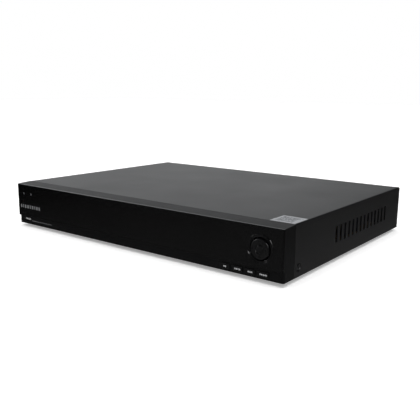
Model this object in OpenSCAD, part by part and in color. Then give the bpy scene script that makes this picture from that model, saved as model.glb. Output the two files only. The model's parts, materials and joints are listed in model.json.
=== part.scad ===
// Desktop video recorder: a steel case with a moulded front, a glossy fascia with a four-way pad
// and a row of small keys, a rear panel of sockets, and a drive, boards, power supply and fan inside.
// Millimetres. X runs to the right, Y to the back and Z up. Inside on_case(), y is measured from the
// fascia's front face and z from the underside of the case.

/* [Case] */
// Width of the case
body_w = 380; // [378:1:390]
// Depth from the fascia's front face to the cover's rear face
body_d = 280; // [280:1:300]
// Height of the case without its feet
body_h = 50; // [50:1:52]
// Outside radius of the cover's two long bends
bend_r = 1.5; // [1.4:0.1:2.5]
// Height of the rubber feet
foot_h = 4; // [3:0.5:8]
// Radius of a rubber foot
foot_r = 10; // [8:1:12]

/* [Front] */
// How far the front's top edge drops below the cover's top
top_drop = 1; // [0:0.25:1.5]
// Height of the strip below the fascia that carries the keys
band_h = 10; // [9.8:0.1:10.4]
// Radius of the front's upright corners
corner_r = 2; // [1:0.5:2]

/* [Controls] */
// Distance of the four-way pad's centre from the middle of the case
pad_x = 166.5; // [163:0.5:166.5]
// Height of the pad's centre
pad_z = 28; // [27:0.5:28]
// Tilt of the pad each way, in degrees
pad_tilt = 2.5; // [1:0.5:2.5]
// Distance between two keys' centres
key_pitch = 14; // [13.5:0.1:14.2]
// Width of a key's cap
key_w = 11.4; // [10:0.2:11.6]
// Travel of a key and of the pad's middle button
key_travel = 0.5; // [0.3:0.1:0.5]
// Angle that the mains rocker turns through, in degrees
rocker_angle = 20; // [14:1:20]

/* [Vents] */
// Number of slots in each side of the cover
vent_count = 14; // [8:1:15]
// Distance between two slots
vent_pitch = 10; // [8:0.5:10]
// Width of a slot
vent_w = 4.6; // [3:0.2:6]
// Height of a slot
vent_h = 17; // [12:0.5:20]

/* [Hidden] */
$fn = 48;
eps = 0.01;

// Case
sheet = 1;
half_w = body_w / 2;
front_d = 20;
seam = 0.3;
lip_y = body_d - sheet;
panel_y = lip_y - sheet;
shell_w = half_w - sheet - 0.1;
flange_h = 16;
front_plate_h = 46;
lip_z = 42.2;
dimple_r = 4.1;
dimple_depth = 1.3;
cup_r = 5.6;
side_screw = [28.5, 9];
rear_screw_x = [-130, 0, 120];
rear_screw_z = 45.2;
foot_x = half_w - 26;
foot_y = [40, body_d - 32];
vent_mid = [170, 24.7];
vent_corner_r = 1.2;
lip_inset = 5;
dimple_taper = 0.8;
screw_free_r = 1.7;
screw_fit_r = 1.55;
board_hole_r = 1.6;

// Front
fascia_t = 2;
wall = 2.2;
wall_back = fascia_t + wall;
cavity_floor = 1.6;
cavity_top = body_h - top_drop - wall;
led_x = [-half_w + 13, -half_w + 27];
led_z = 38;
led_r = 1.4;
infrared = [-half_w + 11.4, 28.6];
infrared_r = 1.6;
board_y = 15;
board_t = 1.6;
usb_board_x = [-half_w + 6, -half_w + 50];
key_board_x = [half_w - 78, half_w - 6];
front_board_z = [1.8, 39.5];
upper_boss_x = [-150, -50, 50, 120];
lower_boss_x = [-100, 0, 90];
upper_boss_z = 43.6;
lower_boss_z = 8.5;
boss_r = 3;
boss_hole_r = 1.25;
boss_hole_depth = 12;
board_boss = [
    [-half_w + 44, 32], [-half_w + 44, 12], [half_w - 72, 34], [half_w - 72, 14], [half_w - 9.4, 11]
];
label_size = 25.6;
label_pos = [half_w - bend_r - 0.3 - label_size / 2, front_d + seam + 0.5 + label_size / 2];

// Four-way pad, its ring and its middle button
pad_r = 9.8;
pad_front = -1.5;
pad_back = 9.2;
pivot_y = 7;
pad_hollow_r = 6.5;
pad_plate = 3.5;
ring_r = 14;
ring_bore_r = 10.5;
ring_barrel_r = 12;
gimbal_r = [10.8, 13.2];
gimbal_half = 1.8;
pin_r = 0.9;
pin_fit = 0.05;
lug_r = [13.7, 16.1];
ok_r = 3.9;
ok_bore_r = 4.15;
ok_front = -1.8;
tact_y = 10.8;
press_gap = 0.1;
nub_r = 8;
nub_gap = nub_r * sin(pad_tilt) + press_gap;

// Keys
key_h = 5;
key_z = 4.8;
key_front = 1.2;
key_gap = 0.25;
key_x = [for (i = [0:3]) half_w - 62.7 + i * key_pitch];

// Front USB socket
usb_pos = [-half_w + 15.5, 5.4];
usb_size = [13.2, 5.8];
usb_wall = 0.4;
usb_gap = 0.3;
usb_tongue = [10.6, 1.9];
usb_tongue_lift = 0.5;

// Boards
standoff_h = 6;
pcb_z = sheet + standoff_h;
pcb_top = pcb_z + board_t;
main_x = [-182, 56];
main_y = [160, body_d - 5];
main_holes = [for (x = [-177, -63, 51], y = [165, 252]) [x, y]];
power_x = [112, 184];
power_y = [150, 250];
power_holes = [for (x = [117, 179], y = [155, 245]) [x, y]];
chip_pos = [-90, 200];

// Rear sockets
socket_back = panel_y - 2;
bnc_x = [for (i = [0:3]) -168 + i * 19];
bnc_z = [17, 35.5];
bnc_r = 4.85;
bnc_bore_r = 4.05;
bnc_tip = lip_y + 11;
rca_x = [-90, -76];
rca_z = [16.5, 31.5];
rca_r = 4.15;
rca_bore_r = 3.35;
rca_tip = lip_y + 9;
vga_pos = [-47, 16];
vga_post_dx = 12.5;
vga_thread_r = 1.42;
hdmi_pos = [-14, pcb_top + 2.8];
lan_pos = [9, pcb_top + 6.75];
lan_size = [16, 13.5];
stack_pos = [32, pcb_top + 7.9];
stack_size = [14.6, 15.8];
fan_pos = [85, 22.5];
fan_half = 20;
fan_t = 10;
fan_hole = 16;
fan_bore_r = 19;
fan_blade_r = 18.3;
fan_hub_r = 10.4;
fan_y = panel_y - 0.1 - fan_t;
switch_pos = [129, 23];
inlet_pos = [161, 23];

// Drive
drive_x = [-178, -31];
drive_y = [32, 133.6];
drive_z = [4, 30];
drive_seat_z = 2.2;
drive_seat_r = 3.4;
drive_holes = [
    for (x = [drive_x[1] - 41.3, drive_x[1] - 117.5], y = [drive_y[0] + 3.2, drive_y[1] - 3.2]) [x, y]
];
spindle = [-126, 82.8];
platter_z = [12, 18];
platter_r = 47.5;
spindle_r = 4;
arm_pivot = [-54, 106];
arm_shaft_r = 2.5;
arm_park = 42;
bearing_fit = 0.05;

// The case's middle lies over the origin and its feet stand on z = 0.
depth_shift = -(bnc_tip + ok_front) / 2;
module on_case() {
    translate([0, depth_shift, foot_h]) children();
}

// ---------- shared shapes ----------

// A flat shape drawn in X and Z, from y0 back to y1.
module along_y(y0, y1) {
    translate([0, y1, 0]) rotate([90, 0, 0]) linear_extrude(y1 - y0) children();
}

// A flat shape drawn in Y and Z, from x0 across to x1.
module along_x(x0, x1) {
    translate([x0, 0, 0]) rotate([90, 0, 90]) linear_extrude(x1 - x0) children();
}

// Rods along each axis; p is the place in the other two.
module rod_x(p, x0, x1, r) {
    translate([x0, p[0], p[1]]) rotate([0, 90, 0]) cylinder(r = r, h = x1 - x0);
}

module rod_y(p, y0, y1, r) {
    translate([p[0], y0, p[1]]) rotate([-90, 0, 0]) cylinder(r = r, h = y1 - y0);
}

module rod_z(p, z0, z1, r) {
    translate([p[0], p[1], z0]) cylinder(r = r, h = z1 - z0);
}

module block(x, y, z) {
    translate([x[0], y[0], z[0]]) cube([x[1] - x[0], y[1] - y[0], z[1] - z[0]]);
}

// A block in front of or behind a wall, centred on p in X and Z.
module slab(p, w, h, y0, y1) {
    block([p[0] - w / 2, p[0] + w / 2], [y0, y1], [p[1] - h / 2, p[1] + h / 2]);
}

// A flat rectangle with round corners, centred on p.
module rounded(p, w, h, r) {
    translate(p) {
        square([w - 2 * r, h], center = true);
        square([w, h - 2 * r], center = true);
        for (sx = [-1, 1], sy = [-1, 1])
            translate([sx * (w / 2 - r), sy * (h / 2 - r)]) circle(r);
    }
}

// A pan-head screw along +Z with its head's underside at z = 0 and a cross recess.
module pan_screw(length, head_r = 2.8, head_h = 1.8, shank_r = 1.5) {
    slot_w = 0.7;
    difference() {
        union() {
            translate([0, 0, -length]) cylinder(r = shank_r, h = length + eps);
            cylinder(r = head_r, h = head_h * 0.45);
            translate([0, 0, head_h * 0.45]) cylinder(r1 = head_r, r2 = head_r * 0.66, h = head_h * 0.55);
        }
        for (a = [0, 90])
            rotate([0, 0, a]) translate([-head_r * 0.5, -slot_w / 2, head_h * 0.4])
                cube([head_r, slot_w, head_h]);
    }
}

// A row of screws through boards, heads up.
module screws_down(places, z, length) {
    for (p = places) translate([p[0], p[1], z]) pan_screw(length);
}

// A round bundle of wires along a route.
function unit(v) = v / norm(v);
function heading(p, i) =
    let (n = len(p) - 1)
    i == 0 ? unit(p[1] - p[0])
        : i == n ? unit(p[n] - p[n - 1])
        : unit(unit(p[i] - p[i - 1]) + unit(p[i + 1] - p[i]));
function side_of(d) = unit(cross(d, abs(d[2]) > 0.8 ? [0, 1, 0] : [0, 0, 1]));
function bezier(a, b, c, t) = (1 - t) * (1 - t) * a + 2 * t * (1 - t) * b + t * t * c;
function softened(p, r, steps = 4) = concat(
    [p[0]],
    [for (i = [1:len(p) - 2], s = [0:steps])
        bezier(p[i] + r * unit(p[i - 1] - p[i]), p[i], p[i] + r * unit(p[i + 1] - p[i]), s / steps)],
    [p[len(p) - 1]]
);

module bundle(route, r, bend = 8, sides = 8) {
    p = softened(route, bend);
    n = len(p);
    rings = [for (i = [0:n - 1])
        let (d = heading(p, i), u = side_of(d), v = cross(d, u))
        for (k = [0:sides - 1]) p[i] + r * (cos(360 * k / sides) * u + sin(360 * k / sides) * v)];
    walls = [for (i = [0:n - 2], k = [0:sides - 1])
        let (a = i * sides + k, b = i * sides + (k + 1) % sides)
        [a, a + sides, b + sides, b]];
    ends = [[for (k = [0:sides - 1]) k], [for (k = [sides - 1:-1:0]) (n - 1) * sides + k]];
    polyhedron(points = rings, faces = concat(walls, ends));
}

// ---------- case ----------

module cover_section(w, h, r) {
    translate([-w, 0]) square([2 * w, h - r]);
    translate([-w + r, 0]) square([2 * (w - r), h]);
    for (s = [-1, 1]) translate([s * (w - r), h - r]) circle(r);
}

module vent_field() {
    for (i = [0:vent_count - 1])
        rounded([vent_mid[0] + (i - (vent_count - 1) / 2) * vent_pitch, vent_mid[1]],
            vent_w, vent_h, vent_corner_r);
}

// Places children at each side screw, z pointing into the case from the cover's outer face.
module at_side_screws() {
    for (s = [-1, 1])
        translate([s * half_w, side_screw[0], side_screw[1]]) rotate([0, -s * 90, 0]) children();
}

module top_cover() {
    color([0.16, 0.16, 0.17]) on_case() difference() {
        union() {
            difference() {
                along_y(front_d + seam, body_d) cover_section(half_w, body_h, bend_r);
                along_y(front_d, body_d + 1)
                    translate([0, -1]) cover_section(half_w - sheet, body_h + 1 - sheet, bend_r - sheet);
            }
            block([-half_w + lip_inset, half_w - lip_inset], [lip_y, body_d], [lip_z, body_h - sheet / 2]);
            at_side_screws() translate([0, 0, sheet / 2])
                cylinder(r = dimple_r + 0.3, h = dimple_depth + 0.4);
        }
        along_x(-half_w - 1, half_w + 1) vent_field();
        at_side_screws() {
            translate([0, 0, -eps])
                cylinder(r1 = dimple_r, r2 = dimple_r - dimple_taper, h = dimple_depth + eps);
            cylinder(r = screw_free_r, h = 4);
        }
        for (x = rear_screw_x) rod_y([x, rear_screw_z], lip_y - 1, body_d + 1, screw_free_r);
    }
}

module front_windows() {
    for (w = [[-184, -140], [-132, -108], [-92, -8], [8, 82], [112, 184]])
        block([w[0], w[1]], [front_d - 1, front_d + 2], [16, 38]);
}

// Openings in the rear panel for the sockets, the fan's air and the mains parts.
module rear_openings() {
    along_y(panel_y - 1, lip_y + 1) {
        for (x = bnc_x, z = bnc_z) translate([x, z]) circle(6.5);
        for (x = rca_x, z = rca_z) translate([x, z]) circle(rca_r + 0.4);
        rounded(vga_pos, 18, 9.4, 2);
        for (s = [-1, 1]) translate([vga_pos[0] + s * vga_post_dx, vga_pos[1]]) circle(1.7);
        translate(hdmi_pos) square([15.6, 6.2], center = true);
        translate(lan_pos) square([lan_size[0] + 0.6, lan_size[1] + 0.6], center = true);
        translate(stack_pos) square([stack_size[0] + 0.6, stack_size[1] + 0.6], center = true);
        for (sx = [-1, 1], sz = [-1, 1])
            translate([fan_pos[0] + sx * fan_hole, fan_pos[1] + sz * fan_hole]) circle(1.8);
        translate(switch_pos) square([13.4, 19.4], center = true);
        translate(inlet_pos) square([28, 20.4], center = true);
        fan_grille();
    }
}

// Hexagonal air holes in front of the fan's blades.
module fan_grille() {
    pitch = 4.6;
    row = pitch * sin(60);
    for (j = [-4:4], i = [-4:4])
        let (x = (i + (abs(j) % 2) / 2) * pitch, z = j * row)
            if (norm([x, z]) < 17.4) translate(fan_pos + [x, z]) rotate(30) circle(r = 2.1, $fn = 6);
}

module chassis() {
    color([0.55, 0.56, 0.57]) on_case() difference() {
        union() {
            block([-shell_w, shell_w], [front_d, lip_y], [0, sheet]);
            block([-shell_w, shell_w], [panel_y, lip_y], [0, body_h - sheet - 0.1]);
            block([-shell_w, shell_w], [front_d, front_d + sheet], [0, front_plate_h]);
            for (s = [-1, 1])
                block([s * shell_w - (s + 1) / 2 * sheet, s * shell_w + (1 - s) / 2 * sheet],
                    [front_d, lip_y], [0, flange_h]);
            at_side_screws() translate([0, 0, sheet + 0.1 + eps]) cylinder(r = cup_r, h = 2.6);
            for (p = drive_holes) rod_z(p, 0, drive_z[0], 6);
        }
        at_side_screws() {
            cylinder(r = dimple_r + 0.6, h = dimple_depth + 1.1);
            cylinder(r = screw_fit_r, h = 6);
        }
        for (p = drive_holes) {
            rod_z(p, -1, drive_seat_z, drive_seat_r);
            rod_z(p, -1, drive_z[0] + 1, 1.8);
        }
        for (x = upper_boss_x) rod_y([x, upper_boss_z], front_d - 1, front_d + 2, screw_free_r);
        for (x = lower_boss_x) rod_y([x, lower_boss_z], front_d - 1, front_d + 2, screw_free_r);
        for (x = rear_screw_x) rod_y([x, rear_screw_z], panel_y - 1, lip_y + 1, screw_fit_r);
        front_windows();
        rear_openings();
    }
}

module rubber_feet() {
    color([0.05, 0.05, 0.05]) on_case()
        for (x = [-foot_x, foot_x], y = foot_y) translate([x, y, -foot_h])
            rotate_extrude() polygon([
                [0, 0.6], [foot_r - 5, 0.6], [foot_r - 4.4, 0], [foot_r - 1.4, 0], [foot_r - 0.8, 0.6],
                [foot_r, foot_h], [0, foot_h]
            ]);
}

module cover_screws() {
    color([0.7, 0.7, 0.7]) on_case() {
        at_side_screws() translate([0, 0, dimple_depth]) mirror([0, 0, 1]) pan_screw(5, 3, 1.2);
        for (x = rear_screw_x) translate([x, body_d, rear_screw_z]) rotate([-90, 0, 0]) pan_screw(5);
    }
}

module bezel_screws() {
    color([0.7, 0.7, 0.7]) on_case() {
        for (x = upper_boss_x)
            translate([x, front_d + sheet, upper_boss_z]) rotate([-90, 0, 0]) pan_screw(9, shank_r = 1.2);
        for (x = lower_boss_x)
            translate([x, front_d + sheet, lower_boss_z]) rotate([-90, 0, 0]) pan_screw(9, shank_r = 1.2);
    }
}

module top_label() {
    color([0.85, 0.86, 0.87]) on_case()
        translate([label_pos[0], label_pos[1], body_h]) linear_extrude(0.15)
            rounded([0, 0], label_size, label_size, 0.8);
}

// ---------- front ----------

// The front strip's outline seen from above, with round upright corners.
module band_outline() {
    translate([-half_w, fascia_t + corner_r]) square([body_w, front_d - fascia_t - corner_r]);
    translate([-half_w + corner_r, fascia_t]) square([body_w - 2 * corner_r, corner_r + eps]);
    for (s = [-1, 1]) translate([s * (half_w - corner_r), fascia_t + corner_r]) circle(corner_r);
}

module front_bezel() {
    color([0.1, 0.1, 0.11]) on_case() difference() {
        union() {
            difference() {
                union() {
                    along_x(-half_w, half_w) polygon([
                        [fascia_t, band_h], [front_d, band_h], [front_d, body_h],
                        [fascia_t, body_h - top_drop]
                    ]);
                    linear_extrude(band_h) band_outline();
                }
                block([-half_w + wall, half_w - wall], [wall_back, front_d + 1],
                    [cavity_floor, cavity_top]);
            }
            for (x = upper_boss_x) rod_y([x, upper_boss_z], wall_back - eps, front_d, boss_r);
            for (x = lower_boss_x) rod_y([x, lower_boss_z], wall_back - eps, front_d, boss_r);
            for (p = board_boss) rod_y(p, wall_back - eps, board_y, boss_r - 0.4);
            for (s = [-1, 1]) let (z = pad_z + s * (lug_r[0] + lug_r[1]) / 2)
                slab([pad_x, z], 6, lug_r[1] - lug_r[0], wall_back - eps, pivot_y + 2.6);
        }
        for (x = upper_boss_x)
            rod_y([x, upper_boss_z], front_d - boss_hole_depth, front_d + 1, boss_hole_r);
        for (x = lower_boss_x)
            rod_y([x, lower_boss_z], front_d - boss_hole_depth, front_d + 1, boss_hole_r);
        for (p = board_boss) rod_y(p, board_y - 8, board_y + 1, screw_fit_r);
        rod_z([pad_x, pivot_y], pad_z - lug_r[1] - 1, pad_z + lug_r[1] + 1, pin_r + pin_fit);
        rod_y([pad_x, pad_z], fascia_t - 1, wall_back + 1, ring_barrel_r + 0.1);
        along_y(fascia_t - 1, wall_back + 1) {
            for (x = led_x) translate([x, led_z]) circle(led_r + 0.1);
            translate(infrared) circle(infrared_r + 0.1);
            for (x = key_x)
                rounded([x, key_z], key_w + 2 * key_gap, key_h + 2 * key_gap, 0.7);
            rounded(usb_pos, usb_size[0] + 2 * usb_gap, usb_size[1] + 2 * usb_gap, 0.7);
        }
    }
}

module fascia_outline() {
    if (corner_r < fascia_t)
        translate([-half_w, corner_r]) square([body_w, fascia_t - corner_r]);
    translate([-half_w + corner_r, 0]) square([body_w - 2 * corner_r, fascia_t]);
    for (s = [-1, 1]) intersection() {
        translate([s * (half_w - corner_r), corner_r]) circle(corner_r);
        translate([-half_w, 0]) square([body_w, fascia_t]);
    }
}

module fascia() {
    color([0.04, 0.04, 0.045]) on_case() difference() {
        translate([0, 0, band_h]) linear_extrude(body_h - top_drop - band_h) fascia_outline();
        along_y(-1, fascia_t + 1) {
            translate([pad_x, pad_z]) circle(ring_barrel_r + 0.05);
            for (x = led_x) translate([x, led_z]) circle(led_r + 0.1);
            translate(infrared) circle(infrared_r + 0.1);
        }
    }
}

module pad_trim_ring() {
    color([0.08, 0.08, 0.085]) on_case()
        translate([pad_x, 0, pad_z]) rotate([-90, 0, 0]) rotate_extrude() polygon([
            [ring_bore_r, wall_back], [ring_bore_r, 0.4], [ring_bore_r + 0.5, -0.1],
            [ring_r - 1.3, -0.5], [ring_r - 0.5, -0.5], [ring_r, 0], [ring_barrel_r, 0],
            [ring_barrel_r, wall_back]
        ]);
}

module indicator_lenses() {
    color([0.8, 0.82, 0.84]) on_case() for (x = led_x) rod_y([x, led_z], -0.15, board_y - 3.4, led_r);
}

module infrared_window() {
    color([0.12, 0.03, 0.05]) on_case() rod_y(infrared, -0.1, board_y - 4.4, infrared_r);
}

// Four small tapered nubs behind the rim, one over each switch.
module nav_pad() {
    color([0.07, 0.07, 0.075]) on_case() translate([pad_x, 0, pad_z]) difference() {
        union() {
            rotate([-90, 0, 0]) rotate_extrude() {
                polygon([
                    [ok_bore_r, pad_front + pad_plate], [ok_bore_r, pad_front + 0.3],
                    [ok_bore_r + 0.3, pad_front], [pad_r - 1.1, pad_front], [pad_r - 0.3, pad_front + 0.3],
                    [pad_r, pad_front + 1.1], [pad_r, pad_back], [pad_hollow_r, pad_back],
                    [pad_hollow_r, pad_front + pad_plate]
                ]);
            }
            for (a = [0:90:270]) rotate([0, a, 0]) rod_y([nub_r, 0], pad_back - eps, tact_y - nub_gap, 1.2);
            for (s = [-1, 1])
                rod_x([pivot_y, 0], s * 11 - 1.5, s * 11 + 1.5, pin_r);
        }
        for (a = [0:90:270]) rotate([0, a, 0]) translate([7.2, pad_front + 0.35, 0]) rotate([90, 0, 0])
            linear_extrude(1) polygon([[-0.8, -1.1], [0.8, 0], [-0.8, 1.1]]);
    }
}

module nav_gimbal() {
    color([0.2, 0.2, 0.2]) on_case() translate([pad_x, pivot_y, pad_z]) difference() {
        union() {
            rod_y([0, 0], -gimbal_half, gimbal_half, gimbal_r[1]);
            for (s = [-1, 1]) rod_z([0, 0], s * 14.3 - 1.5, s * 14.3 + 1.5, pin_r);
        }
        rod_y([0, 0], -gimbal_half - 1, gimbal_half + 1, gimbal_r[0]);
        rod_x([0, 0], -gimbal_r[1] - 1, gimbal_r[1] + 1, pin_r + pin_fit);
    }
}

module ok_button() {
    flange = pad_front + pad_plate + 0.3;
    color([0.07, 0.07, 0.075]) on_case() translate([pad_x, 0, pad_z]) rotate([-90, 0, 0])
        rotate_extrude() polygon([
            [0, ok_front], [ok_r - 0.4, ok_front], [ok_r, ok_front + 0.4], [ok_r, flange],
            [ok_r + 1, flange], [ok_r + 1, flange + 1], [1.5, flange + 1],
            [1.5, tact_y - key_travel - press_gap], [0, tact_y - key_travel - press_gap]
        ]);
}

module front_key(i) {
    flange = wall_back + 0.2;
    color([0.09, 0.09, 0.095]) on_case() {
        along_y(key_front, flange + eps) rounded([key_x[i], key_z], key_w, key_h, 0.5);
        slab([key_x[i], key_z + 0.1], key_w + 1.6, key_h + 1.2, flange, flange + 1);
        rod_y([key_x[i], key_z + 0.1], flange + 1 - eps, tact_y - key_travel - press_gap, 1.4);
    }
}

module key_1() {
    front_key(0);
}

module key_2() {
    front_key(1);
}

module key_3() {
    front_key(2);
}

module key_4() {
    front_key(3);
}

module upright_board(x) {
    difference() {
        block(x, [board_y, board_y + board_t], front_board_z);
        for (p = board_boss)
            if (p[0] > x[0] && p[0] < x[1]) rod_y(p, board_y - 1, board_y + board_t + 1, board_hole_r);
    }
}

module key_board() {
    color([0.1, 0.35, 0.2]) on_case() upright_board(key_board_x);
}

module usb_board() {
    color([0.1, 0.35, 0.2]) on_case() upright_board(usb_board_x);
}

pad_switches = [for (a = [0:90:270]) [pad_x + nub_r * cos(a), pad_z + nub_r * sin(a)]];
module tact_switches() {
    plunger_r = 1.7;
    body_front = tact_y + 0.7;
    color([0.25, 0.25, 0.26]) on_case()
        for (p = concat([for (x = key_x) [x, key_z + 0.3]], pad_switches, [[pad_x, pad_z]])) {
            slab(p, 5.8, 5.6, body_front, board_y);
            rod_y(p, tact_y, body_front + eps, plunger_r);
        }
}

module front_leds() {
    color([0.9, 0.9, 0.85]) on_case() {
        for (x = led_x) slab([x, led_z], 2.4, 2.4, board_y - 3.2, board_y);
        slab(infrared, 6, 7, board_y - 4.2, board_y);
    }
}

module front_usb_shell() {
    inner = [usb_size[0] - 2 * usb_wall, usb_size[1] - 2 * usb_wall];
    color([0.75, 0.75, 0.76]) on_case() difference() {
        along_y(fascia_t - 0.1, board_y) rounded(usb_pos, usb_size[0], usb_size[1], 0.5);
        along_y(fascia_t - 1, board_y - 1) translate(usb_pos) square(inner, center = true);
    }
}

module front_usb_tongue() {
    color([0.95, 0.95, 0.95]) on_case()
        slab(usb_pos + [0, usb_tongue_lift], usb_tongue[0], usb_tongue[1], fascia_t + 1, board_y - 1);
}

// ---------- boards ----------

module flat_board(x, y, holes) {
    difference() {
        block(x, y, [pcb_z, pcb_top]);
        for (p = holes) rod_z(p, pcb_z - 1, pcb_top + 1, board_hole_r);
    }
}

module main_board() {
    color([0.08, 0.3, 0.18]) on_case() flat_board(main_x, main_y, main_holes);
}

module power_board() {
    color([0.5, 0.35, 0.15]) on_case() flat_board(power_x, power_y, power_holes);
}

module board_standoffs() {
    color([0.75, 0.7, 0.5]) on_case() for (p = concat(main_holes, power_holes)) difference() {
        translate([p[0], p[1], sheet]) cylinder(r = 3, h = standoff_h, $fn = 6);
        rod_z(p, sheet + 0.5, pcb_z + 1, screw_fit_r);
    }
}

module board_screws() {
    color([0.72, 0.72, 0.72]) on_case() {
        screws_down(concat(main_holes, power_holes), pcb_top, 6);
        for (p = board_boss)
            translate([p[0], board_y + board_t, p[1]]) rotate([-90, 0, 0]) pan_screw(8);
    }
}

module board_chips() {
    color([0.06, 0.06, 0.06]) on_case() {
        block([chip_pos[0] - 12, chip_pos[0] + 12], [chip_pos[1] - 12, chip_pos[1] + 12],
            [pcb_top, pcb_top + 2]);
        for (i = [0:3])
            block([-130 + i * 22, -120 + i * 22], [222, 234], [pcb_top, pcb_top + 1.2]);
        for (i = [0:1])
            block([-20 + i * 26, -6 + i * 26], [210, 224], [pcb_top, pcb_top + 1.6]);
    }
}

module chip_heatsink() {
    fin_pitch = 4;
    color([0.6, 0.6, 0.62]) on_case() translate([chip_pos[0], chip_pos[1], pcb_top + 2]) {
        block([-15, 15], [-15, 15], [0, 2.5]);
        for (i = [-3:3]) block([i * fin_pitch - 0.7, i * fin_pitch + 0.7], [-15, 15], [2.5 - eps, 12]);
    }
}

module board_capacitors() {
    color([0.12, 0.12, 0.16]) on_case() {
        for (i = [0:4]) rod_z([-30 + i * 12, 240], pcb_top, pcb_top + 10, 4);
        for (i = [0:2]) rod_z([-165 + i * 14, 180], pcb_top, pcb_top + 8, 3.2);
    }
}

module backup_battery() {
    color([0.8, 0.8, 0.8]) on_case() rod_z([-140, 205], pcb_top + 1.2, pcb_top + 4.4, 10);
}

// Plugs and headers that the cables run between, and the battery's holder.
module board_headers() {
    color([0.9, 0.9, 0.86]) on_case() {
        block([-60, -48], [172, 178], [pcb_top, pcb_top + 8]);
        block([-30, -16], [172, 178], [pcb_top, pcb_top + 8]);
        block([0, 12], [172, 178], [pcb_top, pcb_top + 8]);
        block([24, 44], [172, 178], [pcb_top, pcb_top + 8]);
        block([30, 38], [250, 256], [pcb_top, pcb_top + 6]);
        block([-151, -129], [194, 216], [pcb_top, pcb_top + 1.2]);
        block([118, 136], [160, 166], [pcb_top, pcb_top + 8]);
        block([120, 136], [232, 238], [pcb_top, pcb_top + 8]);
        block([-164, -152], [board_y + board_t, board_y + board_t + 5], [20, 26]);
        block([134, 146], [board_y + board_t, board_y + board_t + 5], [20, 26]);
        block([drive_x[1], drive_x[1] + 6], [60, 74], [5, 11]);
        block([drive_x[1], drive_x[1] + 6], [80, 101], [5, 11]);
    }
}

// ---------- rear sockets ----------

module connector_housings() {
    color([0.09, 0.09, 0.1]) on_case() {
        for (x = bnc_x) block([x - 7.5, x + 7.5], [258, socket_back], [pcb_top, 43]);
        for (x = rca_x) block([x - 5.5, x + 5.5], [262, socket_back], [pcb_top, 38]);
    }
}

module bnc_barrels() {
    color([0.8, 0.8, 0.8]) on_case() for (x = bnc_x, z = bnc_z) difference() {
        union() {
            rod_y([x, z], socket_back, lip_y + 1.4, 6.2);
            rod_y([x, z], lip_y + 1.4 - eps, bnc_tip, bnc_r);
            rod_x([bnc_tip - 3.4, z], x - 5.9, x + 5.9, 1);
        }
        rod_y([x, z], lip_y + 1.4, bnc_tip + 1, bnc_bore_r);
        rod_y([x, z], socket_back - 1, bnc_tip, 2.55);
    }
}

module bnc_insulators() {
    color([0.93, 0.93, 0.9]) on_case() for (x = bnc_x, z = bnc_z) difference() {
        rod_y([x, z], socket_back, bnc_tip - 1.6, 2.5);
        rod_y([x, z], socket_back - 1, bnc_tip, 0.8);
    }
}

module bnc_contacts() {
    color([0.85, 0.7, 0.3]) on_case() for (x = bnc_x, z = bnc_z)
        rod_y([x, z], socket_back, bnc_tip - 3, 0.75);
}

module rca_shells() {
    color([0.8, 0.8, 0.8]) on_case() for (x = rca_x, z = rca_z) difference() {
        union() {
            rod_y([x, z], socket_back, lip_y + 0.2, rca_r + 0.25);
            rod_y([x, z], lip_y + 0.1, rca_tip, rca_r);
        }
        rod_y([x, z], socket_back - 1, rca_tip + 1, rca_bore_r);
    }
}

module rca_inserts() {
    color([0.85, 0.85, 0.82]) on_case() for (x = rca_x, z = rca_z) difference() {
        rod_y([x, z], socket_back, rca_tip - 0.6, rca_bore_r - 0.05);
        rod_y([x, z], lip_y, rca_tip + 1, 1.65);
    }
}

// The D-shaped face of the display socket.
module d_face(grow) {
    translate(vga_pos) polygon([
        [-7.6 - grow, 3.4 + grow], [-6.4 - grow, -3.4 - grow], [6.4 + grow, -3.4 - grow],
        [7.6 + grow, 3.4 + grow]
    ]);
}

module vga_shell() {
    color([0.78, 0.78, 0.78]) on_case() difference() {
        union() {
            slab(vga_pos, 30.8, 12.4, socket_back + 0.4, panel_y);
            along_y(panel_y - eps, lip_y + 5.4) d_face(0.7);
        }
        along_y(socket_back, lip_y + 6) d_face(0.1);
        for (s = [-1, 1]) rod_y(vga_pos + [s * vga_post_dx, 0], socket_back, panel_y + 1, 1.7);
    }
}

module vga_insert() {
    contact_pitch = 2.3;
    color([0.1, 0.2, 0.6]) on_case() {
        difference() {
            along_y(socket_back + 0.4, lip_y + 4.4) d_face(0.05);
            along_y(lip_y + 1, lip_y + 5) for (j = [-1:1], i = [-2:2])
                translate(vga_pos + [(i + j * 0.25) * contact_pitch, j * 1.98]) circle(r = 0.5, $fn = 8);
        }
        block([vga_pos[0] - 15, vga_pos[0] + 15], [socket_back - 12, socket_back + 0.4], [pcb_top, 22]);
    }
}

module vga_posts() {
    color([0.8, 0.78, 0.7]) on_case() for (s = [-1, 1])
        let (p = vga_pos + [s * vga_post_dx, 0]) difference() {
        union() {
            along_y(lip_y, lip_y + 5) translate(p) circle(r = 2.9, $fn = 6);
            rod_y(p, socket_back + 0.6, lip_y + eps, 1.6);
        }
        rod_y(p, lip_y - 1, lip_y + 6, vga_thread_r);
    }
}

// A metal shell with one mouth, closed behind.
module shell_box(p, w, h, y0, y1, t) {
    difference() {
        slab(p, w, h, y0, y1);
        slab(p, w - 2 * t, h - 2 * t, y0 + 1, y1 + 1);
    }
}

module port_shells() {
    mouth_y = lip_y + 0.8;
    color([0.78, 0.78, 0.78]) on_case() {
        shell_box(hdmi_pos, 15, 5.6, 266, mouth_y, 0.4);
        difference() {
            slab(lan_pos, lan_size[0], lan_size[1], 258, mouth_y);
            slab(lan_pos, 11.9, 9.4, 262, mouth_y + 1);
            slab(lan_pos - [0, 5.2], 4.2, 2.2, 262, mouth_y + 1);
        }
        difference() {
            slab(stack_pos, stack_size[0], stack_size[1], 260, mouth_y);
            for (s = [-1, 1])
                slab(stack_pos + [0, s * 3.9], 12.6, 5.2, 264, mouth_y + 1);
        }
    }
}

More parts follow.
